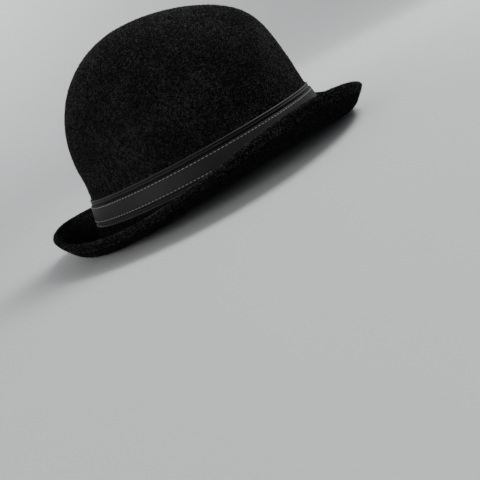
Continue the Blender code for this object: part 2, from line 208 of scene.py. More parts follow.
class HatForm:
    """The felt's outer face as stations: 0 to 1 is the dome, to 2 the wall, to 3 the brim."""

    def __init__(self, settings):
        self.height = settings.crown_height
        self.half_length = settings.crown_half_length
        self.half_width = settings.crown_half_width
        self.centre_x = -settings.dome_set_back
        self.top_arc = settings.top_arc
        self.lean = settings.front_lean
        self.flare = settings.foot_flare
        self.brim_length = settings.brim_half_length
        self.brim_width = settings.brim_half_width
        self.wall_top = self.height - (self.half_length + self.centre_x)

    @staticmethod
    def round_the_hat(heights, theta):
        """Smooth height round the hat through its values at 0, 60, 120 and 180 degrees."""
        front, quarter, rear_quarter, rear = heights
        mean = (front + 2 * quarter + 2 * rear_quarter + rear) / 6
        pitch = (front + quarter - rear_quarter - rear) / 3
        dip = (front - quarter - rear_quarter + rear) / 3
        swing = (front - 2 * quarter + 2 * rear_quarter - rear) / 6
        return mean + pitch * cos(theta) + dip * cos(2 * theta) + swing * cos(3 * theta)

    def edge_height(self, theta):
        """How high the brim's edge runs, with the slight twist that the left side has."""
        twist = BRIM_TWIST * sin(2 * theta) if sin(theta) > 0 else 0.0
        return self.round_the_hat(BRIM_EDGE_HEIGHTS, theta) - twist

    def front_reach(self, rise, outset):
        """Distance from the dome's centre to the front profile at an angle above the horizon."""
        wall = self.half_length + outset - self.centre_x
        arc = self.top_arc + outset
        drop = (self.height + outset - arc) - self.wall_top

        def reach(up):
            to_wall = wall / (cos(up) + self.lean * sin(up))
            along = drop * sin(up)
            to_arc = along + sqrt(along * along - drop * drop + arc * arc)
            power = FRONT_CORNER_SHARPNESS
            return (to_wall ** -power + to_arc ** -power) ** (-1 / power)

        return reach(rise) * (1 + (wall / reach(0) - 1) * cos(rise))

    def dome(self, theta, rise, outset=0.0):
        """Point of the dome; rise runs from 0 at the top of the wall to 90 degrees at the apex."""
        radius = self.half_length + outset + self.centre_x
        rear_x = self.centre_x - radius * cos(rise)
        rear_z = self.wall_top + radius * sin(rise)
        reach = self.front_reach(rise, outset)
        front_x = self.centre_x + reach * cos(rise)
        front_z = self.wall_top + reach * sin(rise)
        half_width = (self.half_width + outset) * max(cos(rise), 0.0) ** SIDE_ROUNDNESS
        middle_z = (front_z + rear_z) / 2
        x = (front_x + rear_x) / 2 + (front_x - rear_x) / 2 * cos(theta)
        x += CROWN_SHIFT * cos(rise) ** 2
        z = (middle_z + (front_z - rear_z) / 2 * cos(theta)
             + (rear_z - middle_z) * sin(theta) ** 2)
        return FOOT + STANCE @ Vector((x, half_width * sin(theta), z))

    def wall(self, theta, height, outset=0.0):
        """Point of the wall, from the crown's foot at 0 up to wall_top."""
        low = 1 - height / self.wall_top
        lean_share = self.lean * self.wall_top / self.flare * max(cos(theta), 0.0) ** 2
        curved = max(low, 0.0) ** FLARE_POWER
        flare = self.flare * (curved + lean_share * (low - curved))
        x = (self.half_length + flare + outset) * cos(theta) + CROWN_SHIFT * (1 - low)
        y = (self.half_width + SIDE_FLARE_SHARE * flare + outset) * sin(theta)
        return FOOT + STANCE @ Vector((x, y, height))

    def brim(self, theta, part):
        """Point of the brim's upper face; part runs from 0 at the foot to 1 at the edge."""
        cosine = cos(theta)
        sine = sin(theta)
        power = BRIM_SQUARENESS
        stretch = (abs(cosine) ** power + abs(sine) ** power) ** (-1 / power)
        edge_x = BRIM_CENTRE_X + self.brim_length * cosine * stretch
        edge_y = self.brim_width * sine * stretch
        near = 3 * (1 - part) ** 2 * part
        far = 3 * (1 - part) * part ** 2
        end = part ** 3
        second = BRIM_SECOND_REACH - END_REACH_LOSS * cosine ** END_LOSS_POWER
        out = near * BRIM_FIRST_REACH + far * second + end
        foot_x = (self.half_length + self.flare) * cosine
        foot_y = (self.half_width + SIDE_FLARE_SHARE * self.flare) * sine
        z = ((near + far) * self.round_the_hat(BRIM_DIP_HEIGHTS, theta)
             + end * self.edge_height(theta))
        x = foot_x * (1 - out) + edge_x * out
        y = foot_y * (1 - out) + edge_y * out
        return FOOT + STANCE @ Vector((x, y, z))

    def sharp_face(self, theta, station):
        """Outer face with a sharp crease where the wall meets the brim."""
        if station <= 1:
            return self.dome(theta, pi / 2 * (1 - max(station, 0.0)))
        if station <= 2:
            return self.wall(theta, self.wall_top * (2 - station))
        return self.brim(theta, station - 2)

    def face(self, theta, station):
        """Outer face with the crease between wall and brim eased into a small curve."""
        if abs(station - 2) >= CREASE_SPREAD:
            return self.sharp_face(theta, station)
        part = (station - 2 + CREASE_SPREAD) / (2 * CREASE_SPREAD)
        above = self.sharp_face(theta, 2 - CREASE_SPREAD)
        crease = self.sharp_face(theta, 2)
        below = self.sharp_face(theta, 2 + CREASE_SPREAD)
        return above * (1 - part) ** 2 + crease * 2 * part * (1 - part) + below * part ** 2

    def wall_axes(self, theta, height, outset):
        """Point on the wall with the directions along the band, up it and out of it."""
        point = self.wall(theta, height, outset)
        along = (self.wall(theta + TURN_STEP, height, outset) - point).normalized()
        up = (self.wall(theta, height + RISE_STEP, outset) - point).normalized()
        out = along.cross(up).normalized()
        return point, along, out.cross(along), out

    def even_angles(self, number, height, outset):
        """Angles that part the oval at a height into equal lengths, and the whole length."""
        places = [self.wall(TURN * k / OVAL_STEPS, height, outset) for k in range(OVAL_STEPS + 1)]
        travelled = [0.0]
        for here, there in zip(places, places[1:]):
            travelled.append(travelled[-1] + (there - here).length)
        angles = []
        k = 0
        for step in range(number):
            target = travelled[-1] * step / number
            while travelled[k + 1] < target:
                k += 1
            part = (target - travelled[k]) / (travelled[k + 1] - travelled[k])
            angles.append(TURN * (k + part) / OVAL_STEPS)
        return angles, travelled[-1]

    def length_round(self, height, outset):
        """Length of the oval at a height."""
        return self.even_angles(1, height, outset)[1]


# ---- mesh tools

PATTERN_MAP = "along_across"
WAVES_A_UNIT = 6.0
POINT_MERGE = 0.001 * MM


def drum(rows, columns, closed, place, pattern):
    """A grid wrapped once round the hat: each point lies at place(column, row), and the pattern
    map holds pattern(column, row). A closed drum's rows also come round, as on a cord."""
    mesh = bmesh.new()
    spans = rows if closed else rows - 1
    bmesh.ops.create_grid(mesh, x_segments=columns, y_segments=spans, size=1.0)
    layer = mesh.loops.layers.uv.new(PATTERN_MAP)
    row_of = mesh.verts.layers.int.new("row")
    cell = {vertex: (round((vertex.co.x + 1) / 2 * columns), round((vertex.co.y + 1) / 2 * spans))
            for vertex in mesh.verts}
    for face in mesh.faces:
        for corner in face.loops:
            corner[layer].uv = pattern(*cell[corner.vert])
    for vertex, (column, row) in cell.items():
        vertex[row_of] = row
        vertex.co = place(column % columns, row % rows)
    bmesh.ops.remove_doubles(mesh, verts=mesh.verts[:], dist=POINT_MERGE)
    return mesh


def patch(across, up, place, half_size):
    """A grid of cells laid on place(u, v), with u and v from -1 to 1; its pattern map is flat."""
    mesh = bmesh.new()
    bmesh.ops.create_grid(mesh, x_segments=across, y_segments=up, size=1.0)
    layer = mesh.loops.layers.uv.new(PATTERN_MAP)
    for face in mesh.faces:
        for corner in face.loops:
            corner[layer].uv = (corner.vert.co.x * half_size[0], corner.vert.co.y * half_size[1])
    for vertex in mesh.verts:
        vertex.co = place(vertex.co.x, vertex.co.y)
    return mesh


def show(name, mesh, material):
    """Turn a bmesh into a smooth object of the scene."""
    data = bpy.data.meshes.new(name)
    mesh.to_mesh(data)
    mesh.free()
    data.shade_smooth()
    data.materials.append(material)
    shown = bpy.data.objects.new(name, data)
    bpy.context.scene.collection.objects.link(shown)
    return shown


def finish_piece(name, mesh, finish_name, node, recalculate=True):
    """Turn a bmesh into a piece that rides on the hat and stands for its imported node."""
    if recalculate:
        bmesh.ops.recalc_face_normals(mesh, faces=mesh.faces[:])
    piece = show(name, mesh, finish(finish_name))
    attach(piece, "root")
    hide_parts(node)
    return piece


def thicken(piece, thickness, offset=-1.0):
    shell = piece.modifiers.new("thickness", "SOLIDIFY")
    shell.thickness = thickness
    shell.offset = offset
    shell.use_even_offset = True


def ring_of(form, section, angles, run, wander=None):
    """A closed section of (height, outset) points carried round the wall at the given angles."""
    columns = len(angles)

    def place(column, row):
        height, outset = section[row]
        if wander:
            outset += wander(column, height, outset)
        return form.wall(angles[column], height, outset)

    def pattern(column, row):
        height, outset = section[row % len(section)]
        return (run * column / columns, height + outset)

    return drum(len(section), columns, True, place, pattern)


def tube_round(path, radius, sides):
    """A closed round cord along a closed path of points."""
    columns = len(path)
    run = sum((path[k] - path[k - 1]).length for k in range(columns))

    def place(column, row):
        along = (path[(column + 1) % columns] - path[column - 1]).normalized()
        out = along.cross(Vector((0, 0, 1))).normalized()
        up = out.cross(along)
        turned = TURN * row / sides
        return path[column] + radius * (cos(turned) * out + sin(turned) * up)

    return drum(sides, columns, True, place,
                lambda column, row: (run * column / columns, TURN * radius * row / sides))


def repeat(mesh, number):
    """Copy what the mesh holds until there are number of it, each copy with its own index."""
    index = mesh.verts.layers.int.new("copy")
    made = 1
    while made < number:
        copies = bmesh.ops.duplicate(mesh, geom=mesh.verts[:] + mesh.edges[:] + mesh.faces[:])
        for element in copies["geom"]:
            if isinstance(element, bmesh.types.BMVert):
                element[index] += made
        made *= 2
    spare = [vertex for vertex in mesh.verts if vertex[index] >= number]
    bmesh.ops.delete(mesh, geom=spare, context="VERTS")
    return index


def stitches(places, half_length, radius):
    """Plump stitches, one ball drawn out along the seam at each (middle, along, up, out)."""
    mesh = bmesh.new()
    bmesh.ops.create_uvsphere(mesh, u_segments=6, v_segments=5, radius=1.0)
    index = repeat(mesh, len(places))
    size = Matrix.Diagonal((half_length, radius, radius, 1.0))
    moves = [Matrix.Translation(middle) @ Matrix((along, up, out)).transposed().to_4x4() @ size
             for middle, along, up, out in places]
    for vertex in mesh.verts:
        vertex.co = moves[vertex[index]] @ vertex.co
    return mesh


def stitch_places(form, height, outset, pitch, inward=False):
    """Where the stitches of one row round the wall lie, and how far apart they are."""
    angles, run = form.even_angles(round(form.length_round(height, outset) / pitch), height, outset)
    places = []
    for theta in angles:
        middle, along, up, out = form.wall_axes(theta, height, outset)
        places.append((middle, along, -up, -out) if inward else (middle, along, up, out))
    return places, run / len(angles)


FIBRE_TALL = (0.6 * MM, 1.3 * MM)
FIBRE_HALF_WIDTH = (0.16 * MM, 0.34 * MM)
FIBRE_ROOTED = 0.3
FIBRE_SHADE_POWER = 1.2
FIBRE_UPRIGHT = 0.8
FIBRE_LEAST_UPRIGHT = 0.25
FIBRE_RIGHTING = 0.6


def fibre_direction(normal, pick):
    """A loose direction that still points out of the felt."""
    loose = Vector((pick.gauss(0, 1), pick.gauss(0, 1), pick.gauss(0, 1))).normalized()
    lean = (normal * FIBRE_UPRIGHT + loose).normalized()
    if lean.dot(normal) < FIBRE_LEAST_UPRIGHT:
        lean = (lean + normal * FIBRE_RIGHTING).normalized()
    return lean


def tufts(faces, number, seed, raw_edge, brightness):
    """Short straight fibres of felt, rooted at random on the given faces."""
    pick = random.Random(seed)
    mesh = bmesh.new()
    shade = mesh.verts.layers.float.new("shade")
    edge = mesh.verts.layers.float.new("raw_edge")
    bmesh.ops.create_cone(mesh, segments=3, radius1=1.0, radius2=0.0, depth=1.0, cap_ends=True)
    index = repeat(mesh, number)
    roots = pick.choices(faces, weights=[face.calc_area() for face in faces], k=number)
    fibres = []
    for face in roots:
        corners = [corner.co for corner in face.verts]
        along, across = pick.random(), pick.random()
        here, there = corners[0].lerp(corners[1], along), corners[-1].lerp(corners[-2], along)
        lean = fibre_direction(face.normal, pick)
        tall = pick.uniform(*FIBRE_TALL)
        wide = pick.uniform(*FIBRE_HALF_WIDTH)
        fibre = (Matrix.Translation(here.lerp(there, across) + lean * tall * FIBRE_ROOTED)
                 @ lean.to_track_quat("Z", "Y").to_matrix().to_4x4()
                 @ Matrix.Diagonal((wide, wide, tall, 1.0)))
        fibres.append((fibre, brightness * pick.random() ** FIBRE_SHADE_POWER))
    for vertex in mesh.verts:
        fibre, tone = fibres[vertex[index]]
        vertex.co = fibre @ vertex.co
        vertex.co.z = max(vertex.co.z, 0.0)
        vertex[shade] = tone
        vertex[edge] = raw_edge
    return mesh


# ---- finishes

class Finish:
    """A Principled material whose patterns are added by small steps."""

    SOCKETS = {"roughness": "Roughness", "specular": "Specular IOR Level",
               "sheen": "Sheen Weight", "sheen_roughness": "Sheen Roughness",
               "coat": "Coat Weight", "anisotropic": "Anisotropic"}

    def __init__(self, name, **gloss):
        self.material = bpy.data.materials.new(name)
        self.material.use_nodes = True
        self.tree = self.material.node_tree
        self.shader = self.tree.nodes["Principled BSDF"]
        for key, value in gloss.items():
            self.shader.inputs[self.SOCKETS[key]].default_value = value
        self.bumps = None

    def add(self, kind, inputs=None, **settings):
        made = self.tree.nodes.new(kind)
        for key, value in settings.items():
            setattr(made, key, value)
        for key, value in (inputs or {}).items():
            self.feed(made.inputs[key], value)
        return made

    def feed(self, socket, value):
        if isinstance(value, bpy.types.NodeSocket):
            self.tree.links.new(value, socket)
        else:
            socket.default_value = value

    def place(self, follow_surface=False, stretch=(1, 1, 1)):
        """Coordinates in metres: the hat's own, or along and across the piece's surface."""
        if follow_surface:
            source = self.add("ShaderNodeUVMap", uv_map=PATTERN_MAP).outputs["UV"]
        else:
            source = self.add("ShaderNodeTexCoord").outputs["Object"]
        return self.add("ShaderNodeMapping", {"Vector": source, "Scale": stretch}).outputs["Vector"]

    def attribute(self, name):
        return self.add("ShaderNodeAttribute", attribute_name=name).outputs["Fac"]

    def noise(self, where, scale, detail=3.0, roughness=0.6):
        return self.add("ShaderNodeTexNoise", {"Vector": where, "Scale": scale, "Detail": detail,
                                               "Roughness": roughness}).outputs["Fac"]

    def cells(self, where, scale, feature="F1"):
        return self.add("ShaderNodeTexVoronoi", {"Vector": where, "Scale": scale},
                        feature=feature).outputs["Distance"]

    def waves(self, where, scale, direction):
        return self.add("ShaderNodeTexWave", {"Vector": where, "Scale": scale},
                        bands_direction=direction).outputs["Fac"]

    def times(self, first, second):
        return self.add("ShaderNodeMath", {0: first, 1: second}, operation="MULTIPLY").outputs[0]

    def spread(self, value, taken, given=(0.0, 1.0)):
        """Stretch the taken range of a value over the given range."""
        return self.add("ShaderNodeMapRange", {
            "Value": value, "From Min": taken[0], "From Max": taken[1],
            "To Min": given[0], "To Max": given[1]}).outputs["Result"]

    def blend(self, factor, first, second):
        mixer = self.add("ShaderNodeMix", data_type="RGBA")
        self.feed(mixer.inputs["Factor"], factor)
        for key, value in (("A", first), ("B", second)):
            linked = isinstance(value, bpy.types.NodeSocket)
            self.feed(mixer.inputs[key], value if linked else (*value, 1))
        return mixer.outputs["Result"]

    def paint(self, value):
        self.feed(self.shader.inputs["Base Color"], value)

    def paint_tone_and_shade(self, factor, base, dark_share):
        """Paint the base colour, darkened to a share of itself where the factor is 0: random tone
        and wear on some finishes, painted shade and highlight on others.
        """
        self.paint(self.blend(factor, [channel * dark_share for channel in base], base))

    def roughen(self, value):
        self.feed(self.shader.inputs["Roughness"], value)

    def raise_by(self, pattern, height, strength):
        """Add a bump of a real height on top of the earlier ones."""
        bump = self.add("ShaderNodeBump", {"Height": pattern, "Distance": height,
                                           "Strength": strength})
        if self.bumps:
            self.feed(bump.inputs["Normal"], self.bumps)
        self.bumps = bump.outputs["Normal"]
        self.feed(self.shader.inputs["Normal"], self.bumps)


def felt_finish(colours):
    """Black wool felt: deep matte ground, mottled in small tufts, clouded in soft patches where the
    nap lies this way or that, and darker on the brim as painted shade.
    """
    felt = Finish("wool_felt", roughness=1.0, specular=0.0)
    where = felt.place()
    specks = felt.noise(where, scale=900.0, detail=3.0, roughness=0.7)
    # the mottle is darkened on the brim as painted shade
    mottle_and_brim_shade = felt.times(felt.spread(specks, (0.42, 0.70)), felt.attribute("brim_painted_shade"))
    # lighter ground on the raw edge, partly a painted highlight
    light = felt.blend(felt.attribute("raw_edge"), colours.felt_light, colours.felt_edge)
    tone = felt.times(mottle_and_brim_shade, brushed_clouds(felt, where))
    felt.paint(felt.blend(tone, colours.felt_dark, light))
    felt.raise_by(specks, height=0.6 * MM, strength=0.8)
    return felt.material


def nap_finish(colours):
    """Single fibres of the nap, each of its own grey, lighter along the raw edge, partly as worn
    cut felt and partly as a painted highlight on the curled edge.
    """
    nap = Finish("wool_nap", roughness=0.85, specular=0.03, sheen=0.04, sheen_roughness=0.5)
    tone = nap.times(nap.attribute("shade"), brushed_clouds(nap, nap.place()))
    tips = nap.blend(nap.attribute("raw_edge"), colours.nap_tip, colours.edge_tip)
    nap.paint(nap.blend(tone, colours.felt_dark, tips))
    return nap.material


def brushed_clouds(felt, where):
    """Soft patches where the nap lies this way or that, broken into small clumps."""
    broad = felt.noise(where, scale=24.0, detail=2.0, roughness=0.5)
    small = felt.noise(where, scale=85.0, detail=2.0, roughness=0.5)
    clumps = felt.noise(where, scale=410.0, detail=1.0, roughness=0.5)
    patches = felt.times(felt.spread(broad, (0.38, 0.62), (0.60, 1.30)),
                         felt.spread(small, (0.35, 0.65), (0.80, 1.15)))
    return felt.times(patches, felt.spread(clumps, (0.36, 0.66), (0.35, 1.60)))


def grosgrain_finish(colours):
    """Ribbed ribbon: fine ribs across its width, with a faint sheen; painted shade in the rib
    troughs and grooves, painted highlight on the beaded selvedges.
    """
    ribbon = Finish("grosgrain", roughness=0.6, specular=0.2, sheen=0.05, sheen_roughness=0.4)
    where = ribbon.place(follow_surface=True)
    ribs = ribbon.waves(where, scale=240.0, direction="X")
    yarns = ribbon.waves(where, scale=700.0, direction="Y")
    fleck = ribbon.noise(where, scale=900.0, detail=2.0)
    weave = ribbon.times(ribbon.spread(ribs, (0.0, 1.0), (0.65, 1.0)),
                         ribbon.spread(fleck, (0.3, 0.7), (0.6, 1.0)))
    # painted highlight on the beads, painted shade in the grooves and the rib troughs
    ribbon.paint_tone_and_shade(ribbon.times(weave, ribbon.attribute("relief_light_and_shade")), colours.ribbon, 0.15)
    ribbon.raise_by(ribs, height=0.12 * MM, strength=0.8)
    ribbon.raise_by(yarns, height=0.04 * MM, strength=0.5)
    return ribbon.material


def strip_finish(colours):
    """Smooth strip: a tight, dull face with a fine pebble."""
    strip = Finish("band_strip", roughness=0.55, specular=0.12)
    where = strip.place(follow_surface=True)
    pebble = strip.cells(where, scale=1400.0)
    cloud = strip.noise(where, scale=90.0, detail=3.0)
    fleck = strip.noise(where, scale=1100.0, detail=2.0)
    tone = strip.times(strip.spread(fleck, (0.35, 0.65), (0.5, 1.1)),
                       strip.spread(cloud, (0.3, 0.7), (0.75, 1.05)))
    strip.paint_tone_and_shade(tone, colours.strip, 0.45)
    strip.roughen(strip.spread(fleck, (0.3, 0.7), (0.48, 0.64)))
    strip.raise_by(pebble, height=0.05 * MM, strength=0.5)
    return strip.material


def thread_finish(name, base):
    """Sewing thread with its plies."""
    thread = Finish(name, roughness=0.6, specular=0.4, sheen=0.2)
    plies = thread.noise(thread.place(), scale=2600.0, detail=2.0)
    thread.paint_tone_and_shade(plies, base, 0.6)
    thread.raise_by(plies, height=0.05 * MM, strength=0.6)
    return thread.material


def leather_finish(colours):
    """Sweatband leather: fine closed grain, with painted shade in its creases."""
    leather = Finish("sweatband_leather", roughness=0.45, specular=0.5, coat=0.05)
    where = leather.place()
    grain = leather.cells(where, scale=900.0)
    crease = leather.cells(where, scale=260.0, feature="DISTANCE_TO_EDGE")
    cloud = leather.noise(where, scale=40.0)
    # the creases are darkened as painted shade
    tone = leather.times(leather.spread(cloud, (0.3, 0.7), (0.6, 1.0)),
                         leather.spread(crease, (0.0, 0.1), (0.7, 1.0)))
    leather.paint_tone_and_shade(tone, colours.leather, 0.4)
    leather.roughen(leather.spread(grain, (0.1, 0.6), (0.40, 0.58)))
    leather.raise_by(leather.spread(crease, (0.0, 0.08)), height=0.06 * MM, strength=0.6)
    leather.raise_by(grain, height=0.06 * MM, strength=0.6)
    return leather.material


def satin_finish(colours):
    """Lining satin: long floats that shine along the weave."""
    satin = Finish("lining_satin", roughness=0.30, specular=0.5, sheen=0.15, sheen_roughness=0.3,
                   anisotropic=0.5)
    drawn_out = satin.place(stretch=(1.0, 6.0, 1.0), follow_surface=True)
    floats = satin.noise(drawn_out, scale=420.0, detail=2.0)
    weave = satin.waves(satin.place(follow_surface=True), scale=900.0, direction="Y")
    satin.paint_tone_and_shade(floats, colours.satin, 0.7)
    satin.raise_by(floats, height=0.04 * MM, strength=0.4)
    satin.raise_by(weave, height=0.02 * MM, strength=0.4)
    return satin.material


def woven_finish(name, base, pitch):
    """Plain weave of warp and weft, darker where the threads dip as painted shade."""
    cloth = Finish(name, roughness=0.85, specular=0.2, sheen=0.1)
    where = cloth.place(follow_surface=True)
    threads = 1 / pitch / WAVES_A_UNIT
    weave = cloth.times(cloth.waves(where, threads, "X"), cloth.waves(where, threads, "Y"))
    # darker where the weave dips, as painted shade
    cloth.paint_tone_and_shade(weave, base, 0.65)
    cloth.raise_by(weave, height=0.08 * MM, strength=0.7)
    return cloth.material


def reed_finish(colours):
    """Bare plastic reed."""
    reed = Finish("reed_plastic", roughness=0.5, specular=0.5)
    scuffs = reed.noise(reed.place(), scale=300.0)
    reed.paint_tone_and_shade(scuffs, colours.reed, 0.8)
    reed.raise_by(scuffs, height=0.02 * MM, strength=0.3)
    return reed.material


FINISHES = {
    "felt": felt_finish,
    "nap": nap_finish,
    "grosgrain": grosgrain_finish,
    "strip": strip_finish,
    "thread": lambda colours: thread_finish("topstitch_thread", colours.thread),
    "dark_thread": lambda colours: thread_finish("seam_thread", [c * 0.4 for c in colours.thread]),
    "leather": leather_finish,
    "satin": satin_finish,
    "tape": lambda colours: woven_finish("cotton_tape", colours.tape, 0.5 * MM),
    "label": lambda colours: woven_finish("label_weave", colours.label, 0.4 * MM),
    "reed": reed_finish,
}
MADE_FINISHES = {}


def finish(name):
    if name not in MADE_FINISHES:
        MADE_FINISHES[name] = FINISHES[name](bpy.context.scene.hat_finish)
    return MADE_FINISHES[name]


# ---- operators

class HAT_OT_felt_body(bpy.types.Operator):
    """Block the crown and brim from one felt, round its raw edge and raise its nap"""

    bl_idname = "hat.felt_body"
    bl_label = "Felt Body"

    COLUMNS = 320
    SPANS = ((0.0, 1.0, 84), (1.0, 2.0, 24), (2.0, LAST_STATION, 34))
    APEX_MERGE = 0.05 * MM
    GRAIN_SEED = 11
    BROAD_DRIFT = 95.0
    FINE_DRIFT = 240.0
    LEVEL_FACE = 1e-6
    RIM_STATION = 2.9
    RIM_ANGLE = radians(60)
    RIM_SHARE = 0.46
    RIM_SEGMENTS = 4
    FRINGE = 4.5 * MM
    # share that the brim's felt ground is darkened to, as painted shade
    BRIM_PAINTED_SHADE = 0.35
    CROWN_NAP_END = 1.98
    EDGE_NAP_START = EDGE_STATION + 0.04
    FIBRES_PER_AREA = 1.3e6
    MOST_FIBRES = 49000
    # brightness of each field's fibres; the brim's fibres above and below are darkened as painted
    # shade
    FIELD_BRIGHTNESS_AND_SHADE = {"crown_right": 1.0, "crown_left": 1.0, "brim_above": 0.22, "brim_below": 0.14,
                  "edge": 0.64}

    def execute(self, context):
        settings = context.scene.hat_form
        form = HatForm(settings)
        mesh = self.skin(form)
        self.roughen(mesh, settings)
        outer = set(mesh.faces)
        core = settings.felt - 2 * settings.nap_depth
        bmesh.ops.solidify(mesh, geom=mesh.verts[:] + mesh.edges[:] + mesh.faces[:], thickness=core)
        self.swell_raw_edge(mesh, outer, settings.edge_swell)
        self.round_raw_edge(mesh, form, core + 2 * settings.edge_swell)
        for vertex in mesh.verts:
            vertex.co.z = max(vertex.co.z, 0.0)
        mesh.normal_update()
        self.raise_nap(mesh, outer)
        finish_piece("felt_crown_and_brim", mesh, "felt", "felt_body", recalculate=False)
        return {"FINISHED"}

    def skin(self, form):
        """Outer face of the felt from the apex to the raw edge."""
        stations = []
        for start, end, steps in self.SPANS:
            stations += [start + (end - start) * step / steps for step in range(steps)]
        stations.append(self.SPANS[-1][1])
        mesh = drum(len(stations), self.COLUMNS, False,
                    lambda column, row: form.face(TURN * column / self.COLUMNS, stations[row]),
                    lambda column, row: (0.6 * column / self.COLUMNS, 2 * MM * row))
        rows = mesh.verts.layers.int["row"]
        layer = mesh.verts.layers.float.new("station")
        for vertex in mesh.verts:
            vertex[layer] = stations[vertex[rows]]
        bmesh.ops.remove_doubles(mesh, verts=mesh.verts[:], dist=self.APEX_MERGE)
        bmesh.ops.recalc_face_normals(mesh, faces=mesh.faces[:])
        mesh.normal_update()
        return mesh

    def roughen(self, mesh, settings):
        """Let the surface wander a little, with a fine grain on top."""
        grain = random.Random(self.GRAIN_SEED)
        for vertex in mesh.verts:
            drift = noise.noise(vertex.co * self.BROAD_DRIFT)
            drift += 0.5 * noise.noise(vertex.co * self.FINE_DRIFT) + grain.uniform(-1.0, 1.0)
            vertex.co += vertex.normal * (drift * settings.unevenness - settings.nap_depth)

    def swell_raw_edge(self, mesh, outer, swell):
        """Thicken the felt towards its raw edge, where the wool was fulled and cut."""
        layer = mesh.verts.layers.float["station"]
        above = {corner for face in outer for corner in face.verts}
        moves = {}
        for vertex in mesh.verts:
            part = (vertex[layer] - EDGE_STATION) / (LAST_STATION - EDGE_STATION)
            if part <= 0:
                continue
            sides = [face for face in vertex.link_faces if (face in outer) == (vertex in above)]
            stations = [[corner[layer] for corner in face.verts] for face in sides]
            sloped = [face for face, along in zip(sides, stations)
                      if max(along) - min(along) > self.LEVEL_FACE]
            if sloped:
                normal = sum((face.normal for face in sloped), Vector()).normalized()
                moves[vertex] = normal * swell * sin(part * pi / 2)
        for vertex, move in moves.items():
            vertex.co += move

    def round_raw_edge(self, mesh, form, thickness):
        """Round the rim's corners, and mark how raw the felt is and how far painted shade darkens
        its brim.
        """
        station = mesh.verts.layers.float["station"]
        rims = [edge for edge in mesh.edges if edge.calc_face_angle(0.0) > self.RIM_ANGLE
                and min(corner[station] for corner in edge.verts) > self.RIM_STATION]
        bmesh.ops.bevel(mesh, geom=rims, offset=thickness * self.RIM_SHARE, affect="EDGES",
                        segments=self.RIM_SEGMENTS, profile=0.5, material=-1)
        raw = mesh.verts.layers.float.new("raw_edge")
        brim_painted_shade = mesh.verts.layers.float.new("brim_painted_shade")
        station = mesh.verts.layers.float["station"]
        for vertex in mesh.verts:
            # painted shade: the brim's ground is darkened against the crown's
            vertex[brim_painted_shade] = self.BRIM_PAINTED_SHADE if vertex[station] > 2.0 else 1.0
            theta = atan2(vertex.co.y / form.brim_width,
                          (vertex.co.x - FOOT.x) / form.brim_length)
            gap = (form.brim(theta, 1.0) - vertex.co).length
            vertex[raw] = max(0.0, 1 - gap / self.FRINGE)

    def raise_nap(self, mesh, outer):
        """Part the felt's visible faces into fields and root short fibres on each."""
        layer = mesh.verts.layers.float["station"]
        fields = {name: [] for name in self.FIELD_BRIGHTNESS_AND_SHADE}
        for face in mesh.faces:
            station = max(corner[layer] for corner in face.verts)
            if station > self.EDGE_NAP_START:
                fields["edge"].append(face)
            elif face in outer and station < self.CROWN_NAP_END:
                right = face.calc_center_median().y < 0
                fields["crown_right" if right else "crown_left"].append(face)
            elif face in outer:
                fields["brim_above"].append(face)
            elif station > 2.0:
                fields["brim_below"].append(face)
        for seed, (name, faces) in enumerate(fields.items()):
            area = sum(face.calc_area() for face in faces)
            number = min(self.MOST_FIBRES, round(area * self.FIBRES_PER_AREA))
            nap = tufts(faces, number, seed, float(name == "edge"), self.FIELD_BRIGHTNESS_AND_SHADE[name])
            finish_piece(f"felt_nap_{name}", nap, "nap", "felt_body", recalculate=False)


class HAT_OT_ribbon(bpy.types.Operator):
    """Lay the ribbed ribbon round the foot of the crown, with its beaded selvedges"""

    bl_idname = "hat.ribbon"
    bl_label = "Band Ribbon"

    COLUMNS = 480
    BEAD = 0.45 * MM
    GROOVE = 0.45 * MM
    BACK = 0.05 * MM
    BACK_INSET = 0.2 * MM
    # painted shade on the ribbon's back, where it lies against the felt
    BACK_PAINTED_SHADE = 0.3

    def execute(self, context):
        form = HatForm(context.scene.hat_form)
        band = context.scene.hat_band
        low, high, face = band.ribbon_low, band.ribbon_high, band.ribbon_out
        bead, groove = self.BEAD, self.GROOVE
        # height in from each selvedge, how far the face stands there, and how bright it is painted:
        # painted highlight on the beads, painted shade in the grooves
        steps = ((0.0, face * 0.35, 0.5), (0.2 * MM, face + bead * 0.6, 1.3),
                 (0.6 * MM, face + bead, 1.5), (0.85 * MM, face + bead * 0.4, 0.6),
                 (1.1 * MM, face - groove, 0.0), (1.6 * MM, face - groove * 0.8, 0.0),
                 (1.85 * MM, face, 0.35), (2.4 * MM, face + 0.1 * MM, 0.5),
                 (2.85 * MM, face, 0.35), (3.1 * MM, face - groove, 0.0))
        section = [(low + inward, outset) for inward, outset, _ in steps]
        section += [(high - inward, outset) for inward, outset, _ in reversed(steps)]
        section += [(level, self.BACK) for level in (high - self.BACK_INSET, (low + high) / 2,
                                                     low + self.BACK_INSET)]
        painted_light_by_row = [tone for _, _, tone in steps]
        painted_light_by_row += painted_light_by_row[::-1] + [self.BACK_PAINTED_SHADE] * 3
        angles, run = form.even_angles(self.COLUMNS, low, face)
        mesh = ring_of(form, section, angles, run)
        rows = mesh.verts.layers.int["row"]
        relief_light_and_shade = mesh.verts.layers.float.new("relief_light_and_shade")
        for vertex in mesh.verts:
            vertex[relief_light_and_shade] = painted_light_by_row[vertex[rows] % len(painted_light_by_row)]
        ribbon = finish_piece("band_ribbon", mesh, "grosgrain", "hatband_ribbon")
        return {"FINISHED"}


